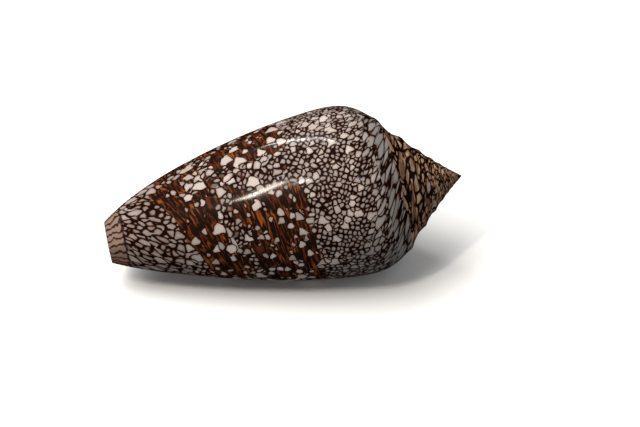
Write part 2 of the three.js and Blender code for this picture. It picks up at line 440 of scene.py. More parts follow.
# %% [markdown]
# ## Sewing the skin
#
# Each face of the shell is a grid of turns by rows. The grids meet edge to edge at exactly the
# same points, so Merge by Distance sews them into one closed skin, the way a 3-D print needs
# it. Rows are close together where the surface turns sharply: at the suture, the shoulder and
# the siphonal end.

# %% Rows and columns
COLUMNS = 160                # in a turn
EDGE_STEPS = 6               # across the thickness of the lip
BESIDE_SUTURE = [0, 0.03, 0.09]


def steps(start, end, count):
    return np.linspace(start, end, count + 1)[1:]


def turns(start, end):
    return np.linspace(start, end, round((end - start) * COLUMNS) + 1)


rows = np.concatenate([
    BESIDE_SUTURE,
    steps(BESIDE_SUTURE[-1], ROUND_FROM, 10),
    steps(ROUND_FROM, ROUND_TO, 7),
    steps(ROUND_TO, SUTURE_ROW - 0.05, 2), [SUTURE_ROW],
    steps(SUTURE_ROW, CEILING_ROW, EDGE_STEPS),
    steps(CEILING_ROW, LAST_ROW, 112),
])


def index_of(row):
    return int(np.argmin(abs(rows - row)))


shoulder_index = index_of(SHOULDER_ROW)
suture_index = index_of(SUTURE_ROW)
ceiling_index = index_of(CEILING_ROW)
last_index = len(rows) - 1
print(len(rows), "rows and", COLUMNS, "columns in a turn")

# %% [markdown]
# Every corner of every face carries the paint's coordinates. They sit on face corners and not
# on points, because one point on the suture belongs to two whorls and needs a value for each.
# A map for baking goes with them. An automatic unwrap would cut the net into hundreds of
# islands. The sheets are grids already, so each takes a rectangle of the map, a chart, whose
# sides are shared out by real length, and the flank that shows most gets half of the map.

# %% Charts on the map: left, bottom, right and top
CHARTS = {
    "flank": (0.005, 0.52, 0.995, 0.995),
    "riser": (0.005, 0.47, 0.995, 0.515),
    "ramp": (0.005, 0.38, 0.995, 0.465),
    "inner wall": (0.005, 0.02, 0.33, 0.27),
    "hollow": (0.34, 0.02, 0.80, 0.27),
    "rim": (0.81, 0.25, 0.995, 0.27),
    "pillar": (0.81, 0.20, 0.995, 0.24),
    "pillar edge": (0.81, 0.18, 0.90, 0.19),
    "pillar gap": (0.91, 0.18, 0.995, 0.19),
    "apex": (0.81, 0.15, 0.90, 0.17),
    "apex side": (0.91, 0.15, 0.995, 0.17),
    "ceiling end": (0.81, 0.10, 0.90, 0.14),
    "hollow end": (0.81, 0.02, 0.995, 0.09),
    "lip": (0.005, 0.004, 0.995, 0.014),
}
SPIRE_CHARTS = [             # from the whorl before the last one, back to the first
    (0.005, 0.31, 0.63, 0.375), (0.64, 0.31, 0.995, 0.375), (0.005, 0.28, 0.30, 0.305),
    (0.31, 0.28, 0.52, 0.305), (0.53, 0.28, 0.68, 0.305), (0.69, 0.28, 0.80, 0.305),
    (0.81, 0.28, 0.90, 0.305),
]
print(len(CHARTS) + len(SPIRE_CHARTS), "charts")

# %% Grids of points with their paint coordinates
sheets = []


def share_of_length(points, axis):
    """How far each column (axis 0) or row (axis 1) of a grid is from the first, from 0 to 1."""
    gaps = np.linalg.norm(np.diff(points, axis=axis), axis=-1).mean(1 - axis)
    reach = np.concatenate([[0], np.cumsum(gaps)])
    return reach / reach[-1]


def add_sheet(points, place, flow, zone, chart, flip=False):
    across, up = np.meshgrid(share_of_length(points, 0), share_of_length(points, 1), indexing="ij")
    left, bottom, right, top = chart
    chart_place = np.stack([mixed(left, right, across), mixed(bottom, top, up)], -1)
    sheets.append(dict(points=points, place=place, flow=flow, zone=zone, chart=chart_place, flip=flip))


# %% Paint coordinates for a grid of turns by rows
RAMP_ZONE_FROM = 1.8         # rows between which the ramp's colour gives way to the flank's
RAMP_ZONE_TO = 2.25
TURN_LENGTH = 60             # what a radian of the flat sheet counts as in flow, in mm


def as_vectors(x, y, z):
    return np.stack([x, y, np.zeros_like(x) + z], -1)


def body_paint(turn, row_list):
    """For the flank. Lengths are summed from the shoulder, so a grid that starts lower gets it too."""
    turn_grid, row_grid = np.meshgrid(turn, row_list, indexing="ij")
    extra = int(row_list[0] > SHOULDER_ROW)
    first = np.full((len(turn), extra), SHOULDER_ROW)
    from_shoulder = np.concatenate([first, row_grid], 1)
    full_turn = np.repeat(turn[:, None], from_shoulder.shape[1], 1)
    along, radius = section(full_turn, from_shoulder)
    x, y = rolled_out(full_turn, along, radius)
    along = along[:, extra:]
    flow = as_vectors(stream(turn_grid, along), TURN_LENGTH * flat_angle(turn_grid), along)
    return as_vectors(x[:, extra:], y[:, extra:], 0), flow


def spire_paint(turn, row_list):
    turn_grid, row_grid = np.meshgrid(turn, row_list, indexing="ij")
    along, radius = section(turn_grid, row_grid)
    x, y = spire_place(turn_grid, along, radius)
    return as_vectors(x, y, 0), as_vectors(-x + SPIRE_PLACE, y, along)


def zones(turn_grid, row_grid, depth):
    """How much of the ramp's colour, how deep inside (0 to 1), and the turn."""
    on_ramp = 1 - smooth(row_grid, RAMP_ZONE_FROM, RAMP_ZONE_TO)
    return np.stack([on_ramp, depth, turn_grid + lead(turn_grid, row_grid)], -1)


# %% [markdown]
# The outer face comes first: a ramp for each whorl of the spire, then the last whorl from the
# ramp to the siphonal end. The flank goes on inside the aperture, where it is the inner wall.
# There the net fades under porcelain, a little way in.

# %% The outer sheets
GLAZED_OVER = 0.05           # turns inside the aperture at which the net has faded
GLAZED_TURN = -1 - GLAZED_OVER
HOLLOW_END = -1 - CAVITY_TURNS


def add_outside(start, end, first, last, paint, chart):
    turn = turns(start, end)
    row_list = rows[first:last + 1]
    turn_grid, row_grid = np.meshgrid(turn, row_list, indexing="ij")
    place, flow = paint(turn, row_list)
    depth = 1 - smooth(turn_grid, GLAZED_TURN, -1.0)
    depth = np.where(row_grid > SUTURE_ROW, depth, 0)
    add_sheet(outside(turn_grid, row_grid), place, flow, zones(turn_grid, row_grid, depth), chart)


for whorl, chart in enumerate(SPIRE_CHARTS, 1):
    add_outside(-whorl - 1, -whorl, 0, suture_index, spire_paint, chart)
add_outside(-1, 0, 0, shoulder_index, spire_paint, CHARTS["ramp"])
add_outside(-1, 0, shoulder_index, ceiling_index, body_paint, CHARTS["riser"])
add_outside(GLAZED_TURN, 0, ceiling_index, last_index, body_paint, CHARTS["flank"])
add_outside(HOLLOW_END, GLAZED_TURN, ceiling_index, last_index, body_paint, CHARTS["inner wall"])
print(len(sheets), "outer sheets")

# %% [markdown]
# The inner face is one grid that follows the hollow. A strip joins it to the outer face along
# the lip, and bulges forward a little, because a grown edge is never square. Another, flat,
# closes the rim at the siphonal end.

# %% The inner sheet
LIP_DEPTH = 0.35             # how white the inner face is at the lip
WHITE_FROM = 0.03            # turns behind it where it is quite white


def full_paint(turn):
    """Paint coordinates over all rows: spire ones above the shoulder, body ones below."""
    spire = spire_paint(turn, rows[:shoulder_index])
    body = body_paint(turn, rows[shoulder_index:])
    return [np.concatenate(pair, 1) for pair in zip(spire, body)]


hollow = turns(-CAVITY_TURNS, 0)
hollow_turn, hollow_row = np.meshgrid(hollow, rows, indexing="ij")
place, flow = full_paint(hollow)
inner_depth = LIP_DEPTH + (1 - LIP_DEPTH) * smooth(-hollow_turn, 0, WHITE_FROM)
add_sheet(inside(hollow_turn, hollow_row), place, flow, zones(hollow_turn, hollow_row, inner_depth),
          CHARTS["hollow"], flip=True)
print("the inner sheet has", hollow_turn.size, "points")

# %% The lip's rounded edge and the rim at the siphonal end
LIP_BULGE = 0.3              # mm forward in the middle of the wall
BULGE_FULL = 0.6             # rows from the suture where the bulge is full
BULGE_LAST = 0.8             # and rows before the siphonal end where it starts to fade


def edge_strip(turn, row, bulge, place, flow, zone, chart, flip=False):
    """Joins the outer face to the inner one across the wall's thickness, bulging forward."""
    across = np.linspace(0, 1, EDGE_STEPS + 1)
    arch = np.sqrt(np.clip(1 - (2 * across - 1) ** 2, 0, 1))
    outer, inner = outside(turn, row), inside(turn, row)
    points = outer[:, None] * (1 - across)[None, :, None] + inner[:, None] * across[None, :, None]
    points = points + bulge[:, None] * arch[None, :, None]
    place, flow, zone = [np.repeat(values[:, None], EDGE_STEPS + 1, 1) for values in (place, flow, zone)]
    zone[..., 1] = LIP_DEPTH * across[None, :]
    add_sheet(points, place, flow, zone, chart, flip)
    return points


lip_turn = np.zeros(len(rows))
forward = wind(lip_turn + 1e-3, *section(lip_turn, rows)) - wind(lip_turn, *section(lip_turn, rows))
forward /= np.linalg.norm(forward, axis=1, keepdims=True)
bulge = LIP_BULGE * smooth(rows, 0, BULGE_FULL) * (1 - smooth(rows, LAST_ROW - BULGE_LAST, LAST_ROW))
lip = edge_strip(lip_turn, rows, forward * bulge[:, None], place[-1], flow[-1],
                 zones(lip_turn, rows, lip_turn), CHARTS["lip"], flip=True)
# Its first points lie on the whorl before, from the suture to the ceiling of the hollow
lip[0] = outside(np.full(EDGE_STEPS + 1, -1.0), rows[suture_index:ceiling_index + 1])

end_row = np.full(len(hollow), LAST_ROW)
end_zone = zones(hollow, end_row, 0 * hollow)
no_bulge = np.zeros((len(hollow), 3))
edge_strip(hollow, end_row, no_bulge, place[:, -1], flow[:, -1], end_zone, CHARTS["rim"])
print("the lip is", round(float(np.linalg.norm(lip[60, 0] - lip[60, -1])), 2), "mm thick in the middle")

# %% [markdown]
# What is left to close is the pillar at the siphonal end, the apex and the far end of the
# hollow, which nobody can see but which a closed skin needs. Each is a fan of triangles from
# one point, made as a grid with one collapsed side, so that it is sewn on like the rest.

# %% The pillar and the apex
PILLAR_AHEAD = 0.25          # turns before the hollow's end where the middle of the pillar is
PILLAR_RADIUS = 0.3          # mm from the axis
APEX_HEIGHT = 0.35           # of the tip above the first whorl, in its shoulder radii


def add_fan(tip, rim, like, chart):
    """Triangles from a tip to a line of points. Their paint is the same all over."""
    points = np.stack([np.broadcast_to(tip, rim.shape), rim], 1)
    zone = np.zeros_like(points) + [like["ramp"], like["depth"], like["turn"]]
    place = np.stack([rim, rim], 1) + like["place"]
    add_sheet(points, place, np.zeros_like(points) + like["along"], zone, chart, like.get("flip", False))


pillar = dict(turn=-1.0, depth=0.6, ramp=0, place=[500, 0, 0], along=LENGTH)
middle = wind(np.array(-CAVITY_TURNS - PILLAR_AHEAD), LENGTH, PILLAR_RADIUS)
end_outside = outside(-CAVITY_TURNS, LAST_ROW)
end_inside = inside(-CAVITY_TURNS, LAST_ROW)
far_edge = mixed(end_outside, end_inside, np.linspace(0, 1, EDGE_STEPS + 1)[:, None])
add_fan(middle, outside(turns(HOLLOW_END, -CAVITY_TURNS), LAST_ROW), pillar, CHARTS["pillar"])
add_fan(middle, far_edge, pillar, CHARTS["pillar edge"])
add_fan(middle, np.stack([end_inside, outside(HOLLOW_END, LAST_ROW)]), pillar, CHARTS["pillar gap"])

tip = np.array([-APEX_HEIGHT * shoulder(-TURNS)[1], 0, 0])
nucleus = dict(turn=-TURNS, depth=0, ramp=1, place=[SPIRE_PLACE, 0, 0], along=1, flip=True)
add_fan(tip, outside(turns(-TURNS, 1 - TURNS), 0), nucleus, CHARTS["apex"])
add_fan(tip, outside(-TURNS, rows[:suture_index + 1]), dict(nucleus, flip=False), CHARTS["apex side"])

# %% The far end of the hollow
deep = dict(turn=HOLLOW_END, depth=1, ramp=0, place=[500, 500, 0], along=40, flip=True)
far_inner = inside(-CAVITY_TURNS, rows)
far_outer = outside(HOLLOW_END, rows[ceiling_index:])
add_fan(far_inner[0], far_inner[1:ceiling_index + 1], deep, CHARTS["ceiling end"])
end_points = np.stack([far_inner[ceiling_index:], far_outer], 1)
deep_zone = np.zeros_like(end_points) + [deep["ramp"], deep["depth"], deep["turn"]]
add_sheet(end_points, end_points + deep["place"], np.zeros_like(end_points) + deep["along"], deep_zone,
          CHARTS["hollow end"], deep["flip"])
print(len(sheets), "sheets")

# %% [markdown]
# ## Laying the shell down
#
# A cone shell rests on its aperture, with the apex a little raised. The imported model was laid
# down and centred on its own box. The same columns and rows as it has are measured here, so
# that both sit in exactly the same place. Moving the finished skin until its own box fits would
# be simpler, but the rounded lip and the growth marks would put it off by a hair.

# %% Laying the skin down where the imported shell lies
AXIS_SLOPE = 8.0             # apex end up, in degrees
PACKED_COLUMNS = 40          # in a turn


def laid(points):
    slope = -radians(AXIS_SLOPE)
    x, y, z = points[..., 0], points[..., 1], points[..., 2]
    return np.stack([x * np.cos(slope) + z * np.sin(slope), y, z * np.cos(slope) - x * np.sin(slope)], -1)


packed_turns = np.linspace(-TURNS, 0, TURNS * PACKED_COLUMNS + 1)
body_turns = packed_turns[packed_turns >= HOLLOW_END - 1e-9]
packed = [laid(tip)[None], laid(wind(packed_turns, *shoulder(packed_turns)))]
for row in range(int(SUTURE_ROW), int(LAST_ROW) + 1):
    ahead = body_turns + lead(body_turns, row)
    packed.append(laid(wind(ahead, *section(ahead, np.full(len(ahead), float(row))))))
packed = np.concatenate(packed)
packed_low, packed_high = packed.min(0), packed.max(0)
SHIFT = np.array([
    (low.x + high.x) / 2 / MM - (packed_low[0] + packed_high[0]) / 2,
    (low.y + high.y) / 2 / MM - (packed_low[1] + packed_high[1]) / 2,
    low.z / MM - packed_low[2],
])
print("the skin is shifted by", SHIFT.round(2), "mm; measured size", (packed_high - packed_low).round(2))

# %% [markdown]
# ## One mesh
#
# The grids go into one mesh as quads, with their coordinates as attributes, and then the shared
# points are merged. A boolean could cut the hollow out of a solid shell instead, but it leaves
# slivers wherever two faces nearly touch, and here they do so all along the suture. A count of
# the edges that don't have two faces tells whether the skin is closed.

# %% Making the mesh
MERGE_DISTANCE = 2e-6        # in metres, far less than between any two rows
NO_LENGTH = 1e-7             # an edge shorter than this is a collapsed one


def grid_quads(columns, row_count, first, flip):
    number = first + np.arange(columns * row_count).reshape(columns, row_count)
    quads = [number[:-1, :-1], number[1:, :-1], number[1:, 1:], number[:-1, 1:]]
    quads = np.stack(quads, -1).reshape(-1, 4)
    return quads[:, ::-1] if flip else quads


def all_sheets(key, width=3):
    return np.concatenate([sheet[key].reshape(-1, width) for sheet in sheets])


def make_skin(name):
    faces, count = [], 0
    for sheet in sheets:
        columns, row_count = sheet["points"].shape[:2]
        faces.append(grid_quads(columns, row_count, count, sheet["flip"]))
        count += columns * row_count
    faces = np.concatenate(faces)
    corner_points = faces.ravel()
    points = laid(all_sheets("points")) + SHIFT
    mesh = bpy.data.meshes.new(name)
    mesh.from_pydata((points * MM).tolist(), [], faces.tolist())
    for key in ("place", "flow", "zone"):
        values = all_sheets(key)[corner_points]
        layer = mesh.attributes.new(key, "FLOAT_VECTOR", "CORNER")
        layer.data.foreach_set("vector", values.astype(np.float32).ravel())
    charts = all_sheets("chart", 2)[corner_points]
    mesh.uv_layers.new(name="OFBake").data.foreach_set("uv", charts.astype(np.float32).ravel())
    return mesh


def sew(mesh):
    """Merges the sheets' shared points and drops the collapsed sides of the fans."""
    skin = bmesh.new()
    skin.from_mesh(mesh)
    bmesh.ops.remove_doubles(skin, verts=skin.verts, dist=MERGE_DISTANCE)
    bmesh.ops.dissolve_degenerate(skin, edges=skin.edges, dist=NO_LENGTH)
    open_edges = sum(len(edge.link_faces) != 2 for edge in skin.edges)
    volume = round(skin.calc_volume(signed=True) / MM ** 3)
    print(len(skin.faces), "faces,", open_edges, "open edges, volume", volume, "mm3")
    for face in skin.faces:
        face.smooth = True
    skin.to_mesh(mesh)
    skin.free()


# %% The shell
mesh = make_skin("shell_skin")
sew(mesh)
shell = bpy.data.objects.new("shell_skin", mesh)
bpy.context.scene.collection.objects.link(shell)
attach(shell, "root")
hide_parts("shell")
print("the shell stands for the packed one")

# %% [markdown]
# ## Formulas as nodes
#
# The net needs a good many small sums. Laid out by hand they would be a wall of Math nodes, so
# a small helper turns ordinary arithmetic into nodes: adding two signals adds a Math node and
# gives back its output.

# %% A helper that writes formulas as nodes
class Signal:
    """One number or colour on its way between nodes. Arithmetic on it adds Math nodes."""

    def __init__(self, socket):
        self.socket = socket

    def __add__(self, other):
        return calculated("ADD", self, other)

    def __sub__(self, other):
        return calculated("SUBTRACT", self, other)

    def __rsub__(self, other):
        return calculated("SUBTRACT", other, self)

    def __mul__(self, other):
        return calculated("MULTIPLY", self, other)

    __radd__ = __add__
    __rmul__ = __mul__


glaze = bpy.data.materials.new("tented_glaze")
glaze.use_nodes = True
nodes, links = glaze.node_tree.nodes, glaze.node_tree.links
nodes.clear()


def feed(socket, value):
    if isinstance(value, Signal):
        links.new(value.socket, socket)
    else:
        socket.default_value = value


def add_node(kind, values=(), **settings):
    """Adds a shader node. Values go to its sockets, by name or in order."""
    node = nodes.new("ShaderNode" + kind)
    for key, value in settings.items():
        setattr(node, key, value)
    pairs = values.items() if isinstance(values, dict) else enumerate(values)
    for key, value in pairs:
        feed(node.inputs[key], value)
    return node


def calculated(operation, *values):
    return Signal(add_node("Math", values, operation=operation).outputs[0])


# %% Sums that come up often
def smaller(a, b):
    return calculated("MINIMUM", a, b)


def larger(a, b):
    return calculated("MAXIMUM", a, b)


def step_between(value, start, end):
    """Rises smoothly from 0 to 1 as value goes from start to end."""
    values = {"Value": value, "From Min": start, "From Max": end}
    return Signal(add_node("MapRange", values, interpolation_type="SMOOTHSTEP").outputs[0])


def step_down(value, start, end):
    return 1.0 - step_between(value, start, end)


def blend(amount, first, second):
    """A colour between two others. The colour sockets of a Mix node are the seventh and eighth."""
    node = add_node("Mix", data_type="RGBA")
    for number, value in ((0, amount), (6, first), (7, second)):
        feed(node.inputs[number], value)
    return Signal(node.outputs[2])


# %% Vectors, noise and attributes
def vector(x, y, z=0.0):
    return Signal(add_node("CombineXYZ", (x, y, z)).outputs[0])


def parts(value):
    return [Signal(output) for output in add_node("SeparateXYZ", (value,)).outputs]


def vectors(operation, *values, output=0):
    return Signal(add_node("VectorMath", values, operation=operation).outputs[output])


def noise(place, scale, detail=2.0, **more):
    values = {"Vector": place, "Scale": scale, "Detail": detail, **more}
    return Signal(add_node("TexNoise", values).outputs[0])


def attribute(name):
    return Signal(add_node("Attribute", attribute_name=name).outputs["Vector"])


# %% [markdown]
# ## The net
#
# The white tents are patches where the mantle stopped making pigment. Each one starts broad,
# when pigment stops along a stretch of the lip, and narrows to a point as the pigment spreads
# back from both sides, so its point looks the way the shell grew. Small cells crowd between
# the large tents.
#
# A Voronoi texture gives cells with thin walls, but all of one size and with no direction.
# Three of them are combined here: small, middling and large. Each large cell is measured as a
# tent, a rounded triangle that points forward, and takes a random size, often none. Where two
# candidates are equally near, there is a wall, and it comes out dark brown.

# %% Places and directions on the sheet
place = attribute("place")
flow_across, flow_on, along = parts(attribute("flow"))
on_ramp, depth, turn = parts(attribute("zone"))


def shifted(place, amount, scale, seed):
    """Moves a place a little by noise, so that walls wander."""
    x, y, z = parts(place)
    dx = noise(vector(x, y, seed), scale, 1.0) - 0.5
    dy = noise(vector(x, y, seed + 9.0), scale, 1.0) - 0.5
    return vector(x + dx * amount, y + dy * amount)


wobbly = shifted(place, amount=1.1, scale=0.35, seed=3.0)
wobbly = shifted(wobbly, amount=0.16, scale=1.1, seed=17.0)
outward = vectors("NORMALIZE", place)
turned = add_node("VectorRotate", {"Vector": outward, "Angle": pi / 2}, rotation_type="Z_AXIS")
onward = Signal(turned.outputs[0])
print(len(nodes), "nodes for places and directions")

# %% One size of cell
TENT_LEAN = 0.08             # how far a tent leans to one side, as a slope
LEAN_SPREAD = 0.8            # and how much that differs from tent to tent
TENT_RIDGE = 0.05            # rounds off its point
FRONT_ON = 0.45              # how fast its two sides close in: onward
FRONT_ACROSS = 0.85          # and across
BACK_ON = -0.95              # how far back its broad end is
TENT_CORNERS = 0.9           # how round its corners are


def voronoi(where, size, feature="F1", randomness=0.9):
    """Distance to the nearest centre (F1) or the second nearest (F2), that centre and its colour."""
    values = {"Vector": where, "Scale": 1 / size, "Randomness": randomness}
    node = add_node("TexVoronoi", values, voronoi_dimensions="2D", feature=feature)
    distance, colour, centre = [Signal(node.outputs[name]) for name in ("Distance", "Color", "Position")]
    return distance * size, centre, colour


def tent(where, size, seed, radius, spread):
    """How far outside the nearest tent a place is, its centre, and a random number of its own.

    Radius is the largest tent's, in mm, and spread is the share of centres that have one.
    """
    moved = vectors("ADD", where, (seed, seed, 0))
    distance, centre, chances = voronoi(moved, size)
    offset = vectors("SUBTRACT", moved, centre)
    size_chance, lean_chance, colour_chance = parts(chances)
    lean = (lean_chance - 0.5) * LEAN_SPREAD + TENT_LEAN
    on = vectors("DOT_PRODUCT", offset, onward, output="Value")
    out = vectors("DOT_PRODUCT", offset, outward, output="Value")
    ahead = on - out * lean
    across = out + on * lean
    across = calculated("SQRT", across * across + TENT_RIDGE)
    roof = calculated("SMOOTH_MAX", ahead * FRONT_ON + across * FRONT_ACROSS, ahead * BACK_ON, TENT_CORNERS)
    outside_by = roof - (size_chance - 1 + spread) * radius
    return outside_by, vectors("SUBTRACT", centre, (seed, seed, 0)), colour_chance


# %% [markdown]
# ## Bands
#
# Two broad bands cross the net where the mantle made a second, orange pigment. Inside them the
# small cells fill with brown and only tents stay white. A gradient along the axis would paint
# straight rings, but bands follow the spiral, so each is a range of stream, with a ragged edge.
# The back one stops and starts again, at a pause in the shell's growth and at a few other
# places.

# %% Where the bands run
BAND_EDGE = 1.6              # mm over which a band starts
RAGGEDNESS = 6.0             # mm that its edge wanders
BREAK_TURN = -0.435          # where the back band is broken by a pause
BETWEEN_STRENGTH = 0.30      # how strong the trace between the two bands is


def band(middle, half_width):
    away = calculated("ABSOLUTE", ragged_stream - middle)
    return step_down(away, half_width - BAND_EDGE, half_width + BAND_EDGE)


ragged_stream = flow_across + (noise(wobbly, 0.22, 3.0) - 0.5) * RAGGEDNESS
front_band = band(58.0, 4.6)
back_band = band(43.5, 7.0)
between = band(51.0, 6.0) * BETWEEN_STRENGTH
unbroken = step_between(calculated("ABSOLUTE", turn - BREAK_TURN), 0.02, 0.05)
unbroken = unbroken * step_between(noise(vector(flow_on * 0.04, 2.0, 5.0), 1.0, 1.0), 0.30, 0.36)
banded = larger(larger(front_band, back_band * unbroken), between)
print(len(nodes), "nodes with the bands")

# %% [markdown]
# A small cell whose centre lies under a tent would leave a sliver beside it, and a dark blot
# where the two meet. So a centre that a larger tent covers is struck out, and the tent spreads
# to the next cell instead.

# %% Which cell a place belongs to
FINE = 1.25                  # mm between the centres of cells
MIDDLING = 2.1
LARGE = 3.8
MIDDLING_RADIUS = 0.9        # mm from a tent's centre to its sides, at the most
LARGE_RADIUS = 1.5
MIDDLING_SEED = 31.0
LARGE_SEED = 57.0
MIDDLING_COVERED = 0.8       # mm from a larger tent within which a centre is struck out
FINE_COVERED = 0.58
FINE_RANDOMNESS = 0.7
SHOULDER_LAG = 0.4           # mm that fine cells stand back for tents near the shoulder
STRUCK = 9.0                 # mm, further than any cell reaches

# Zones, in mm below the apex
forward_zone = step_between(along, 36.0, 62.0)
canal_zone = step_between(along, 58.0, 68.0)
shoulder_zone = step_down(along, 17.0, 26.0)
middling_spread = 0.46 + 0.1 * forward_zone - 0.16 * banded + 0.5 * shoulder_zone
large_spread = 0.16 + 0.5 * noise(wobbly, 0.07, 1.0) - 0.5 * canal_zone


def large_tent(where):
    return tent(where, LARGE, LARGE_SEED, LARGE_RADIUS, large_spread)


def middling_tent(where):
    away, centre, chance = tent(where, MIDDLING, MIDDLING_SEED, MIDDLING_RADIUS, middling_spread)
    covered = calculated("LESS_THAN", large_tent(centre)[0], MIDDLING_COVERED)
    return away + covered * STRUCK, centre, chance


def fine_cell(feature):
    distance, centre, chances = voronoi(wobbly, FINE, feature, FINE_RANDOMNESS)
    from_tents = smaller(middling_tent(centre)[0], large_tent(centre)[0])
    covered = calculated("LESS_THAN", from_tents, FINE_COVERED)
    return distance + covered * STRUCK + shoulder_zone * SHOULDER_LAG, chances


fine, fine_chances = fine_cell("F1")
fine_chance = parts(fine_chances)[0]
fine_second = fine_cell("F2")[0]
middling, _, middling_chance = middling_tent(wobbly)
large, _, large_chance = large_tent(wobbly)
print(len(nodes), "nodes with the cells")

# %% [markdown]
# The wall between two cells lies where the nearest and the runner-up are equally far. The gap
# between those two distances is 0 in the middle of the wall and grows into the cell, so one
# step turns it into a line of even width. The texture can measure the distance to an edge
# itself, but only for cells of its own size, and here three sizes compete. Where three walls
# meet the line swells a little, as on the shell.

# %% Walls between the cells
FINE_PULL = 0.45             # fine cells count as nearer, so that they fill the room between tents
FINE_START = 0.28            # but tents are ahead of them by this much, in mm
TENT_GAP = 1.4               # how much faster the gap grows beside a tent
CORNER_STRENGTH = 0.4        # how much the line swells at the corners of tents
FINE_CORNER_STRENGTH = 0.9   # and at those of fine cells


def gap_between(size, seed):
    """How much nearer the nearest centre of one size is than the second nearest."""
    moved = vectors("ADD", wobbly, (seed, seed, 0))
    return voronoi(moved, size, "F2")[0] - voronoi(moved, size)[0]


def excess(value, start, most):
    """How far a value is over a start, up to a limit."""
    return smaller(larger(value - start, 0.0), most)


fine_best, fine_next = smaller(fine, fine_second), larger(fine, fine_second)
fine_reach = fine_best * FINE_PULL + FINE_START
nearest = smaller(smaller(fine_reach, middling), large)
runner_up = larger(smaller(fine_reach, middling), smaller(larger(fine_reach, middling), large))
middling_wins = calculated("LESS_THAN", middling, smaller(fine_reach, large))
large_wins = calculated("LESS_THAN", large, smaller(fine_reach, middling))
fine_wins = 1.0 - middling_wins - large_wins
gap = (runner_up - nearest) * TENT_GAP
gap = smaller(gap, fine_next - fine_best + STRUCK * (1.0 - fine_wins))
gap = smaller(gap, gap_between(MIDDLING, MIDDLING_SEED) + STRUCK * (1.0 - middling_wins))
gap = smaller(gap, gap_between(LARGE, LARGE_SEED) + STRUCK * (1.0 - large_wins))
gap = gap - excess(nearest, 0.45, 0.3) * CORNER_STRENGTH
gap = gap - excess(fine_best, 0.42, 0.4) * FINE_CORNER_STRENGTH * fine_wins

# The line's width, in mm, and the step that leaves the cell white
on_spire = step_down(turn, -1.3, -1.05)
line_width = 0.24 + 0.2 * noise(wobbly, 0.6, 2.0) - 0.04 * shoulder_zone + 0.14 * on_spire
white = step_between(gap, line_width - 0.06, line_width + 0.12)
print(len(nodes), "nodes with the walls")

# %% [markdown]
# Dark threads run along the bands. Each is a gland on the mantle's edge that made more pigment
# than its neighbours, so the threads follow the stream: the noise that makes them is drawn out
# along it. A wave texture would give threads too, but all equally far apart.

# %% Threads and filled cells in the bands
LEFT_WHITE = 0.93            # a small cell whose chance is above this stays white in a band

left_white = calculated("GREATER_THAN", fine_chance, LEFT_WHITE)
filled = step_between(banded + (fine_chance - 0.5) * 0.4, 0.35, 0.45) * (1.0 - left_white)
threads = noise(vector(flow_across * 1.9, flow_on * 0.3, 2.0), 1.0, 2.0, Distortion=0.5)
dark_thread = step_between(threads, 0.36, 0.52)
blotch = noise(vector(flow_across * 0.25, flow_on * 0.2, 8.0), 1.0, 3.0)
print(len(nodes), "nodes with the threads")

# %% [markdown]
# ## Colours
#
# The tents are cream, and warmer in the larger ones. A red-brown fringe lines each wall, where
# the pigment thins out. Over the shoulder and low on the flank towards it the cream is darkened
# to blue-grey, a painted shade for the side that faces away from the lamps. Near the siphonal
# end it turns pink-grey. The ramp and the spire are older and stained gold and brown. Each
# colour is a mix of two by one of the zones made above, which keeps every change soft and easy
# to move.

# %% Colours of the net
CREAM = (0.29, 0.245, 0.225, 1)
CREAM_WARM = (0.49, 0.42, 0.38, 1)
FRINGE = (0.12, 0.042, 0.018, 1)
LINE = (0.008, 0.0025, 0.0015, 1)
PINK_GREY = (0.21, 0.165, 0.15, 1)
# Painted shade: a darker blue-grey cream for the side turned away from the lamps
PAINTED_SHADE_BLUE_GREY = (0.16, 0.165, 0.165, 1)

middling_warmth = middling_chance * middling_wins
large_warmth = (large_chance * 0.6 + 0.4) * large_wins
cream = blend(larger(middling_warmth, large_warmth), CREAM, CREAM_WARM)
# Painted shade: blue-grey low on the flank towards the shoulder, and over the shoulder zone
painted_shade_bluish = step_between(turn, -0.90, -0.78) * step_down(turn, -0.66, -0.54)
painted_shade_bluish = painted_shade_bluish * step_down(along, 24.0, 36.0) * 0.7
painted_shade_bluish = larger(painted_shade_bluish, shoulder_zone * 0.65)
cream = blend(canal_zone * 0.6, blend(painted_shade_bluish, cream, PAINTED_SHADE_BLUE_GREY), PINK_GREY)
middle_of_cell = step_between(gap, line_width, line_width + 0.8)
cream = blend(middle_of_cell, blend(0.28, cream, LINE), cream)
fringe = step_between(gap, line_width - 0.2, line_width + 0.02)
net = blend(white, blend(fringe, LINE, FRINGE), cream)
print(len(nodes), "nodes with the net's colours")

# %% Colours of the bands, the ramp and the spire
ORANGE = (0.215, 0.058, 0.010, 1)
RED_BROWN = (0.085, 0.018, 0.006, 1)
DARK_BROWN = (0.012, 0.005, 0.003, 1)
RAMP_BROWN = (0.15, 0.058, 0.018, 1)
GOLD = (0.47, 0.28, 0.15, 1)

band_colour = blend(step_between(blotch, 0.36, 0.56), ORANGE, RED_BROWN)
band_colour = blend(dark_thread, band_colour, DARK_BROWN)
tent_edge = step_down(smaller(middling, large), 0.10, 0.28)
between_tents = blend(tent_edge, band_colour, LINE)
net = blend(filled * fine_wins, net, between_tents)
ramp_base = blend(step_between(noise(place, 0.45, 2.0), 0.40, 0.62), RAMP_BROWN, GOLD)
stained = on_spire * step_between(noise(place, 0.16, 2.0), 0.30, 0.55) * 0.9
net = blend(larger(on_ramp * 0.85, stained), net, blend(white, LINE, ramp_base))
print(len(nodes), "nodes with the bands' and the spire's colours")

# %% [markdown]
# The siphonal end wears a collar without a net: tan, with dark wavy lines along the axis. It
# could be a ring of faces with a material of its own, but its edge wavers and isn't a row of
# faces, so it is a step in the same material. A sine wave of the turn gives the lines, and
# noise makes them waver. Inside the shell everything fades to porcelain white.

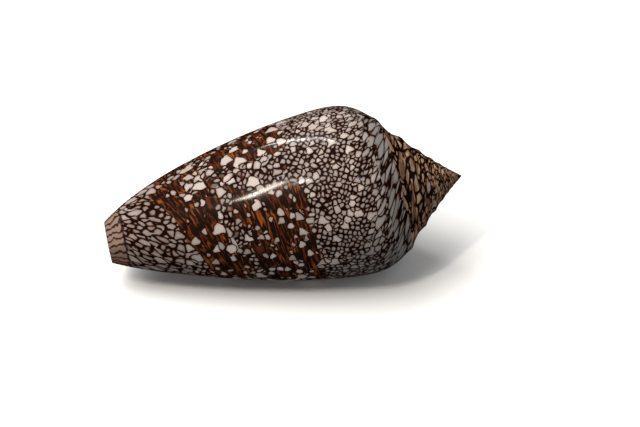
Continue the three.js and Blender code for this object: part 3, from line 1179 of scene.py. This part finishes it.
# %% The collar at the siphonal end, and the porcelain inside
COLLAR_FROM = 76.2           # mm below the apex
COLLAR_TAN = (0.22, 0.145, 0.115, 1)
COLLAR_ORANGE = (0.17, 0.078, 0.043, 1)
COLLAR_LINES = 24            # in a turn
PORCELAIN = (0.80, 0.76, 0.70, 1)

rim_wave = along + (noise(place, 0.8, 2.0) - 0.5) * 1.6
collar = step_between(rim_wave, COLLAR_FROM, COLLAR_FROM + 0.2)
collar_waves = noise(vector(turn * 9.0, along * 0.55, 4.0), 1.0, 2.0)
collar_phase = turn * COLLAR_LINES + (collar_waves - 0.5) * 2.2
collar_line = step_between(calculated("SINE", collar_phase * (2 * pi)), 0.25, 0.8)
collar_edge = step_down(calculated("ABSOLUTE", rim_wave - COLLAR_FROM), 0.12, 0.4)
collar_base = blend(step_between(turn, -0.8, -0.45), COLLAR_ORANGE, COLLAR_TAN)
net = blend(collar, net, blend(collar_line * 0.9, collar_base, LINE))
net = blend(collar_edge * 0.9, net, LINE)
colour = blend(depth, net, PORCELAIN)
print(len(nodes), "nodes with the collar")

# %% [markdown]
# ## Glaze
#
# A living cone wears a dull skin, but the shell under it is polished like porcelain. Light
# partly goes into the pigment and partly glances off the polish. So the base is a little rough
# with hardly any shine of its own, and a thin clear coat over it gives the highlights. Fine
# grain along the lines of growth, as bump, keeps them from being perfectly even. Values that
# are the same all over are typed into the shader's own sockets, where an export finds them.

# %% The glaze
shader = add_node("BsdfPrincipled", {
    "Base Color": colour,
    "Roughness": 0.4,
    "IOR": 1.5,
    "Specular IOR Level": 0.05,
    "Coat Weight": 0.4,
    "Coat Roughness": 0.11,
    "Coat IOR": 1.5,
})
grain = noise(vector(flow_across * 0.15, flow_on * 0.9, 0.0), 1.0, 3.0)
bump = add_node("Bump", {"Strength": 0.15, "Distance": 0.0002, "Height": grain})
links.new(bump.outputs[0], shader.inputs["Normal"])
output = add_node("OutputMaterial")
links.new(shader.outputs[0], output.inputs[0])
mesh.materials.append(glaze)
print(len(nodes), "nodes in the glaze")

# %% [markdown]
# ## Floor, light and camera
#
# A pale floor under a weak white sky. A large soft lamp, high on the side of the siphonal end,
# does most of the lighting. A polished shell would show it, the sky and the floor as a milky
# haze over its dark lines, so those three are hidden from reflections. What it does reflect
# are four small lamps: a long one and a pane beside it to the left of the camera, a tiny one to
# the right and a thin one behind.

# %% Floor
FLOOR_SIZE = 1.6
FLOOR_GREY = (0.86, 0.86, 0.86, 1)

corner = FLOOR_SIZE / 2
floor_mesh = bpy.data.meshes.new("floor")
floor_corners = [(-corner, -corner, 0), (corner, -corner, 0), (corner, corner, 0), (-corner, corner, 0)]
floor_mesh.from_pydata(floor_corners, [], [(0, 1, 2, 3)])
floor = bpy.data.objects.new("floor", floor_mesh)
bpy.context.scene.collection.objects.link(floor)
floor.location.z = -0.0002
floor.visible_glossy = False
floor.visible_diffuse = False
paper = bpy.data.materials.new("pale_paper")
paper.use_nodes = True
paper_shader = paper.node_tree.nodes["Principled BSDF"]
paper_shader.inputs["Base Color"].default_value = FLOOR_GREY
paper_shader.inputs["Roughness"].default_value = 0.9
floor_mesh.materials.append(paper)
print("a floor", FLOOR_SIZE, "m wide")


# %% Lamps
def direction(azimuth, elevation):
    """A unit vector: azimuth 0 is -Y, 90 is +X; elevation is above the table. In degrees."""
    a, e = radians(azimuth), radians(elevation)
    return Vector((np.sin(a) * np.cos(e), -np.cos(a) * np.cos(e), np.sin(e)))


def aim(holder, azimuth, elevation):
    """Points a lamp or a camera at the middle of the scene from one side."""
    holder.rotation_mode = "QUATERNION"
    holder.rotation_quaternion = direction(azimuth, elevation).to_track_quat("Z", "Y")
    bpy.context.scene.collection.objects.link(holder)


def add_lamp(name, azimuth, elevation, distance, size, power, colour=(1, 1, 1), reflected=True):
    """Size is the width and height of its face, in metres."""
    lamp = bpy.data.lights.new(name, "AREA")
    lamp.shape = "RECTANGLE"
    lamp.size, lamp.size_y = size
    lamp.energy, lamp.color = power, colour
    holder = bpy.data.objects.new(name, lamp)
    holder.location = direction(azimuth, elevation) * distance
    holder.visible_glossy = reflected
    aim(holder, azimuth, elevation)
    print(name, "gives", power, "W")


add_lamp("long_lamp", -45, 50, 0.8, (0.045, 0.18), 2.0, (1, 0.90, 0.78))
add_lamp("back_lamp", -156, 62, 0.8, (0.01, 0.5), 1.3, (1, 0.95, 0.90))
add_lamp("small_lamp", 14, 50, 0.8, (0.01, 0.06), 0.12)
add_lamp("pane_lamp", -33, 54, 0.8, (0.03, 0.04), 0.2)
add_lamp("top_lamp", -84, 62, 1.2, (1.0, 1.0), 17.0, (1, 0.98, 0.95), reflected=False)

# %% Sky
SKY_STRENGTH = 0.42

sky = bpy.data.worlds.new("sky")
bpy.context.scene.world = sky
sky.use_nodes = True
sky_inputs = sky.node_tree.nodes["Background"].inputs
sky_inputs["Color"].default_value = (1, 1, 1, 1)
sky_inputs["Strength"].default_value = SKY_STRENGTH
sky.cycles_visibility.glossy = False
bpy.context.scene.view_settings.view_transform = "Standard"
print("a sky of strength", SKY_STRENGTH)

# %% [markdown]
# The camera looks down on the flank, a little from the siphonal end, through a long lens, so
# that the near and the far end keep their proportions.

# %% Camera
AZIMUTH = -8.84              # in degrees, as for the lamps
ELEVATION = 30.65
DISTANCE = 0.45              # in metres
SEEN_WIDTH = 0.14168696      # metres across the view, at that distance
SENSOR = 36.0                # its width, in mm
AIM_AT = Vector((0, 0, 0.018))
RIGHT_BY = 8.10 * MM         # then moved sideways, which sets the shell off centre
UP_BY = -4.10 * MM

back = direction(AZIMUTH, ELEVATION)
right = Vector((np.cos(radians(AZIMUTH)), np.sin(radians(AZIMUTH)), 0))
up = back.cross(right)
lens = bpy.data.cameras.new("camera")
lens.sensor_width = SENSOR
lens.lens = SENSOR * DISTANCE / SEEN_WIDTH
lens.clip_start, lens.clip_end = 0.01, 10
camera = bpy.data.objects.new("camera", lens)
camera.location = AIM_AT + back * DISTANCE + right * RIGHT_BY + up * UP_BY
aim(camera, AZIMUTH, ELEVATION)
bpy.context.scene.camera = camera
print("lens", round(lens.lens, 1), "mm")
